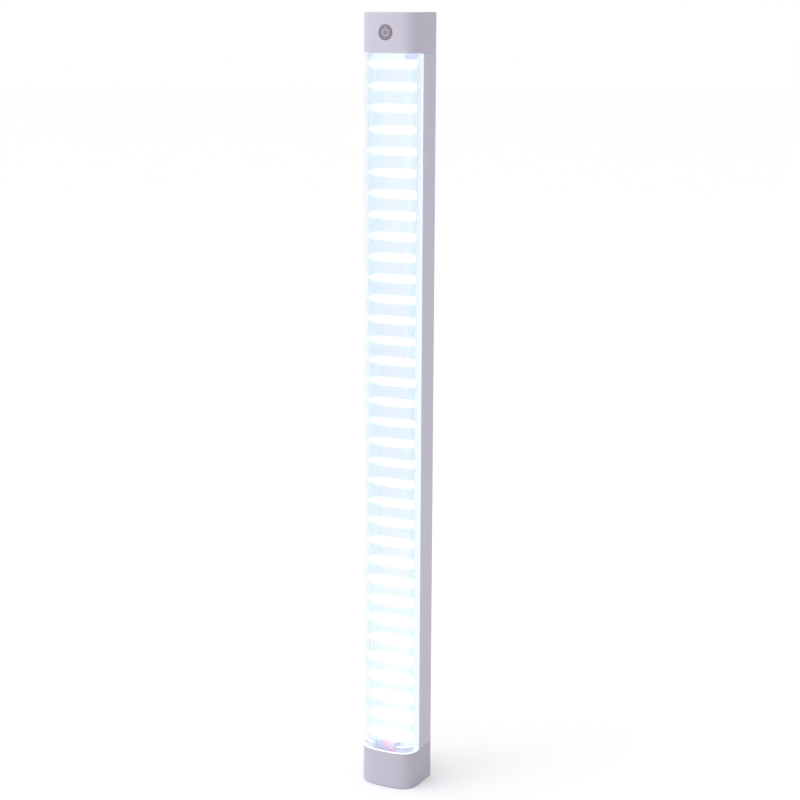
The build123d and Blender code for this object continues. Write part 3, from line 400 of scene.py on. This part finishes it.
def circuit_board(name):
    """Blue solder mask with copper tracks showing through it as paler lines."""
    material, tree, shader = principled(name, Roughness=0.3)
    cells = tree.add("ShaderNodeTexVoronoi", feature="DISTANCE_TO_EDGE", distance="CHEBYCHEV")
    tree.put(cells.inputs["Vector"], tree.point())
    tree.put(cells.inputs["Scale"], TRACK_SCALE)
    track = tree.remap(cells.outputs["Distance"], *TRACK_EDGES, 1.0, 0.0)
    base = tree.mix(track, colour(0.012, 0.03, 0.13), colour(0.03, 0.07, 0.24))
    tree.put(shader.inputs["Base Color"], base)
    tree.put(shader.inputs["Normal"], tree.bump(track, 0.03 * MM, 0.5))
    return material


MATERIALS = {
    # the upper cap: painted shading, and painted glow on its rim
    "shell_plastic": cap_plastic("shell_plastic_upper_painted_shading", UPPER_CAP_PAINTED_SHADING, RIM_GLOW_TOP),
    "clear_plastic": clear_plastic(),
    # tray, LED board and LED packages carry painted light
    "white_plastic": lit_white("tray_lit", GAP_GLOW, GAP_GLOW_TINT),
    "white_board": lit_white("led_board_lit", GAP_GLOW, GAP_GLOW_TINT),
    "led_ceramic": lit_white("led_package_lit", PACKAGE_GLOW, colour(0.92, 0.97, 1.0)),
    "led_phosphor": phosphor(),
    "adhesive_tape": plain_plastic("tape", colour(0.70, 0.70, 0.66), colour(0.78, 0.78, 0.74), 0.7),
    "foam": plain_plastic("foam", colour(0.02, 0.02, 0.02), colour(0.06, 0.06, 0.06), 0.9, 700.0),
    "button_plastic": plain_plastic("button_dark", colour(0.24, 0.215, 0.26), colour(0.28, 0.255, 0.30), 0.4),
    "symbol_ink": plain_plastic("symbol_pale", colour(0.60, 0.57, 0.64), colour(0.68, 0.65, 0.71), 0.45),
    "black_plastic": plain_plastic("plastic_black", colour(0.010, 0.010, 0.011), colour(0.022, 0.022, 0.024)),
    "blue_board": circuit_board("board_blue"),
    "chip_plastic": plain_plastic("chip_black", colour(0.014, 0.014, 0.015), colour(0.03, 0.03, 0.032), 0.5),
    "cell_can": plain_plastic("cell_wrap", colour(0.012, 0.14, 0.11), colour(0.02, 0.19, 0.15), 0.25),
    "nickel": metal("nickel_plate", colour(0.56, 0.54, 0.50), colour(0.68, 0.66, 0.62), 0.28),
    "steel": metal("zinc_steel", colour(0.42, 0.42, 0.43), colour(0.55, 0.55, 0.57), 0.32),
    "brass": metal("brass_turned", colour(0.60, 0.42, 0.15), colour(0.72, 0.53, 0.22), 0.28),
    "red_insulation": plain_plastic("wire_red", colour(0.50, 0.015, 0.03), colour(0.62, 0.03, 0.05), 0.4),
    "black_insulation": plain_plastic("wire_black", colour(0.012, 0.012, 0.012), colour(0.03, 0.03, 0.03),
                                      0.4),
    "grey_insulation": plain_plastic("cable_grey", colour(0.16, 0.17, 0.18), colour(0.22, 0.23, 0.24), 0.5),
}

NODE_MATERIALS = {
    # housing and lower cap: painted shading and painted glow
    "housing": housing_plastic(),
    "bottom_cap": cap_plastic("shell_plastic_lower_painted_shading", LOWER_CAP_PAINTED_SHADING, RIM_GLOW_LOW),
    # driver board and LED leads carry painted light from the LEDs above
    "driver_board": lit_from_above(circuit_board("driver_board_lit"), colour(0.77, 0.81, 1.0), 0.9),
    "led_lead_red": lit_from_above(MATERIALS["red_insulation"].copy(), colour(0.87, 0.69, 0.96), 0.74),
    "led_lead_black": lit_from_above(MATERIALS["black_insulation"].copy(), colour(0.60, 0.66, 0.82), 0.65),
    "indicator_pipe": plain_plastic("pipe_frosted", colour(0.66, 0.70, 0.72), colour(0.76, 0.79, 0.80), 0.3),
}

for entry in frame["record"]["subparts"]:
    cad_node = nodes[entry["node"]]
    cad_node.data.materials.clear()
    cad_node.data.materials.append(NODE_MATERIALS.get(entry["node"], MATERIALS[entry["material_slot"]]))


# ================================================================ clear cover
RIB_PITCH = 1.375 * MM
RIB_HEIGHT = 0.15 * MM
RIB_STEPS = 12
OUTER_STEPS = 24
SIDE_STEPS = 8
CORNER_STEPS = 8
CORNER_STEP = 0.6            # spacing of the points past the last rib, in rib pitches
RIB_END_Y = -8.9 * MM        # the ribs stop before the housing's lips
GROOVE_Y = -5.6 * MM
GROOVE_X = 20.85 * MM
GROOVE_RADIUS = 0.7 * MM
GROOVE_STEPS = 8
SHARP_ANGLE = math.radians(32)


def section_point(inset, distance):
    """Point of the outline moved in by inset, at a distance along it from the middle of the front.

    distance is measured along the inset curve, and a negative one goes to the left.
    """
    side = math.copysign(1, distance)
    front_length = (FRONT_RADIUS - inset) * FRONT_SWEEP
    if abs(distance) <= front_length:
        angle = distance / (FRONT_RADIUS - inset)
        reach = FRONT_RADIUS - inset
        return reach * math.sin(angle), FRONT_CENTRE_Y - reach * math.cos(angle)
    angle = FRONT_SWEEP + (abs(distance) - front_length) / (CORNER_RADIUS - inset)
    angle = min(angle, math.pi / 2)
    reach = CORNER_RADIUS - inset
    return side * (CORNER_X + reach * math.sin(angle)), CORNER_Y - reach * math.cos(angle)


def ribbed_inner_side():
    """Inner face of the cover's right half from the middle of the front to its rear edge."""
    wall = COVER_WALL
    points = []
    crown = math.hypot(RIB_PITCH / 2, RIB_HEIGHT) ** 2 / (2 * RIB_HEIGHT)
    rib_sweep = (FRONT_RADIUS - wall) * FRONT_SWEEP
    rib_sweep += (CORNER_RADIUS - wall) * (math.asin((RIB_END_Y - CORNER_Y) / (CORNER_RADIUS - wall))
                                           + math.pi / 2 - FRONT_SWEEP)
    ribs = int(rib_sweep / RIB_PITCH)
    for step in range(ribs * RIB_STEPS + 1):
        along = step * RIB_PITCH / RIB_STEPS
        offset = (step % RIB_STEPS) / RIB_STEPS - 0.5
        height = math.sqrt(crown**2 - (offset * RIB_PITCH) ** 2) - (crown - RIB_HEIGHT)
        # the point on the wall, pushed inwards by the rib's height
        points.append(section_point(wall + height, along * (1 - height / (FRONT_RADIUS - wall))))
    for step in range(1, CORNER_STEPS):
        x, y = section_point(wall, (ribs + CORNER_STEP * step) * RIB_PITCH)
        if y < CORNER_Y:
            points.append((x, y))
    side_x = HALF_WIDTH - wall
    points.append((side_x, CORNER_Y))
    reach = math.sqrt(GROOVE_RADIUS**2 - (side_x - GROOVE_X) ** 2)
    for step in range(GROOVE_STEPS + 1):
        turn = math.atan2(-reach, side_x - GROOVE_X)
        angle = turn - 2 * turn * step / GROOVE_STEPS
        points.append((GROOVE_X + GROOVE_RADIUS * math.cos(angle),
                       GROOVE_Y + GROOVE_RADIUS * math.sin(angle)))
    points.append((side_x, PARTING_Y))
    return points


def smooth_outer_side():
    """Outer face of the cover's right half from the middle of the front to its rear edge."""
    length = FRONT_RADIUS * FRONT_SWEEP + CORNER_RADIUS * (math.pi / 2 - FRONT_SWEEP)
    points = [section_point(0, length * step / OUTER_STEPS) for step in range(OUTER_STEPS + 1)]
    for step in range(1, SIDE_STEPS + 1):
        points.append((HALF_WIDTH, CORNER_Y + (PARTING_Y - CORNER_Y) * step / SIDE_STEPS))
    return points


def mirrored(points):
    """The left half of a line that starts on the centre plane, in reverse, followed by the right half."""
    return [(-x, y) for x, y in reversed(points[1:])] + list(points)


def bearing(point):
    """Direction of a point of the section as seen from the middle of the cover's open side."""
    x, y = point
    return math.atan2(x, PARTING_Y - y)


def wall_triangles(outer, inner):
    """Triangles across the wall between two lines, as places in outer followed by inner reversed."""
    last = len(outer) + len(inner) - 1
    triangles = []
    i = j = 0
    while i < len(outer) - 1 or j < len(inner) - 1:
        outer_next = bearing(outer[i + 1]) if i < len(outer) - 1 else math.inf
        inner_next = bearing(inner[j + 1]) if j < len(inner) - 1 else math.inf
        if outer_next <= inner_next:
            triangles.append((i, i + 1, last - j))
            i += 1
        else:
            triangles.append((i, last - j - 1, last - j))
            j += 1
    return triangles


def upright_wall(name, outer, inner, low, high, material):
    """Upright wall with smooth long faces and flat ends, between two lines of (x, y) points."""
    loop = outer + list(reversed(inner))
    count = len(loop)
    vertices = [(x, y, z) for z in (low, high) for x, y in loop]
    faces = [(i, (i + 1) % count, (i + 1) % count + count, i + count) for i in range(count)]
    for a, b, c in wall_triangles(outer, inner):
        faces.append((c, b, a))
        faces.append((a + count, b + count, c + count))
    mesh = bpy.data.meshes.new(name)
    mesh.from_pydata(vertices, [], faces)
    mesh.validate()
    mesh.shade_smooth()
    mesh.set_sharp_from_angle(angle=SHARP_ANGLE)
    mesh.materials.append(material)
    piece = bpy.data.objects.new(name, mesh)
    bpy.context.scene.collection.objects.link(piece)
    return piece


def make_cover():
    low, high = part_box("lens_cover")
    cover = upright_wall("cover_ribbed", mirrored(smooth_outer_side()), mirrored(ribbed_inner_side()),
                         low.z, high.z, MATERIALS["clear_plastic"])
    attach(cover, "tube")
    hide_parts("lens_cover")


make_cover()


# ================================================================ studio
FLOOR_RADIUS = 14.0
FLOOR_STEPS = 96
FLOOR_CLOUD_SCALE = 6.0
FRONT_LIGHT_TOWARDS = (-0.62, -0.76, 0.20)
FRONT_LIGHT_LEVEL = 0.88
FRONT_LIGHT_EDGES = (0.06, 0.90)    # cosines between which it grows to its full level
OVERHEAD_LEVEL = 1.8
OVERHEAD_EDGES = (0.55, 0.95)       # heights of a direction, from 0 at the horizon to 1 overhead
SHADED_REFLECTION = 0.5             # share of the uneven light in what glossy surfaces reflect
SHADED_EDGES = (0.02, 0.4)          # heights of a direction between which that share fades in


def make_floor():
    """Large pale floor disc."""
    turns = [2 * math.pi * step / FLOOR_STEPS for step in range(FLOOR_STEPS)]
    points = [(FLOOR_RADIUS * math.cos(turn), FLOOR_RADIUS * math.sin(turn), 0.0) for turn in turns]
    mesh = bpy.data.meshes.new("floor")
    mesh.from_pydata(points, [], [tuple(range(FLOOR_STEPS))])
    material, tree, shader = principled("floor_pale", Roughness=0.9)
    cloud = tree.noise(tree.point(), FLOOR_CLOUD_SCALE)
    tone = tree.mix(cloud, colour(0.95, 0.95, 0.955), colour(0.97, 0.97, 0.97))
    tree.put(shader.inputs["Base Color"], tone)
    mesh.materials.append(material)
    floor = bpy.data.objects.new("floor", mesh)
    bpy.context.scene.collection.objects.link(floor)


def make_world():
    """White studio whose light on matt surfaces is stronger from overhead and from the front left."""
    world = bpy.data.worlds.new("studio")
    bpy.context.scene.world = world
    tree = Tree(world)
    direction = tree.add("ShaderNodeTexCoord").outputs["Generated"]
    dot = tree.add("ShaderNodeVectorMath", operation="DOT_PRODUCT")
    tree.put(dot.inputs[0], direction)
    dot.inputs[1].default_value = Vector(FRONT_LIGHT_TOWARDS).normalized()
    _, _, height = tree.split(direction)
    level = tree.remap(dot.outputs["Value"], *FRONT_LIGHT_EDGES, 0.0, FRONT_LIGHT_LEVEL)
    overhead = tree.remap(height, *OVERHEAD_EDGES, 0.0, OVERHEAD_LEVEL)
    soft = tree.add("ShaderNodeBackground")
    tree.put(soft.inputs["Color"], colour(1.0, 0.985, 1.0))
    tree.put(soft.inputs["Strength"], tree.math("ADD", level, overhead))
    white = tree.add("ShaderNodeBackground")
    tree.put(white.inputs["Color"], colour(1.0, 1.0, 1.0))
    path = tree.add("ShaderNodeLightPath")
    blend = tree.add("ShaderNodeMixShader")
    # reflections near the horizon see the same plain white as the background behind the tube
    share = tree.remap(height, *SHADED_EDGES, 0.0, SHADED_REFLECTION)
    share = tree.math("MULTIPLY", path.outputs["Is Glossy Ray"], share)
    tree.put(blend.inputs[0], tree.math("MAXIMUM", path.outputs["Is Diffuse Ray"], share))
    tree.put(blend.inputs[1], white.outputs[0])
    tree.put(blend.inputs[2], soft.outputs[0])
    out = tree.add("ShaderNodeOutputWorld")
    tree.put(out.inputs["Surface"], blend.outputs[0])


def area_light(name, place, target, size, power):
    """Round soft light at a place, turned towards a target."""
    data = bpy.data.lights.new(name, "AREA")
    data.shape = "DISK"
    data.size = size
    data.energy = power
    light = bpy.data.objects.new(name, data)
    light.location = place
    light.rotation_mode = "QUATERNION"
    light.rotation_quaternion = (Vector(target) - Vector(place)).to_track_quat("-Z", "Y")
    bpy.context.scene.collection.objects.link(light)


def make_camera():
    """Camera at the front right, level with the top of the tube and looking down its length."""
    azimuth = math.radians(27.72)
    distance = 1371.6 * MM
    height = 596.5 * MM
    pitch = math.radians(11.84)
    roll = math.radians(0.26)
    pan = math.radians(0.11)
    forward = Vector((-math.sin(azimuth), math.cos(azimuth), 0))
    right = Vector((math.cos(azimuth), math.sin(azimuth), 0))
    up = Vector((0, 0, 1))
    forward, right = (forward * math.cos(pan) + right * math.sin(pan),
                      right * math.cos(pan) - forward * math.sin(pan))
    forward, up = (forward * math.cos(pitch) - up * math.sin(pitch),
                   up * math.cos(pitch) + forward * math.sin(pitch))
    right, up = (right * math.cos(roll) + up * math.sin(roll),
                 up * math.cos(roll) - right * math.sin(roll))
    data = bpy.data.cameras.new("camera")
    data.sensor_width = 36.0
    data.lens = 82.27
    data.clip_start = 0.05
    data.clip_end = 60.0
    camera = bpy.data.objects.new("camera", data)
    axes = Matrix((right, up, -forward)).transposed()
    camera.matrix_world = Matrix.Translation(
        (math.sin(azimuth) * distance, -math.cos(azimuth) * distance, height)
    ) @ axes.to_4x4()
    bpy.context.scene.collection.objects.link(camera)
    bpy.context.scene.camera = camera


make_floor()
make_world()
area_light("key_soft", place=(-1.1, -1.3, 1.5), target=(0, 0, 0.5), size=1.2, power=4.0)
make_camera()
bpy.context.scene.view_settings.view_transform = "Standard"
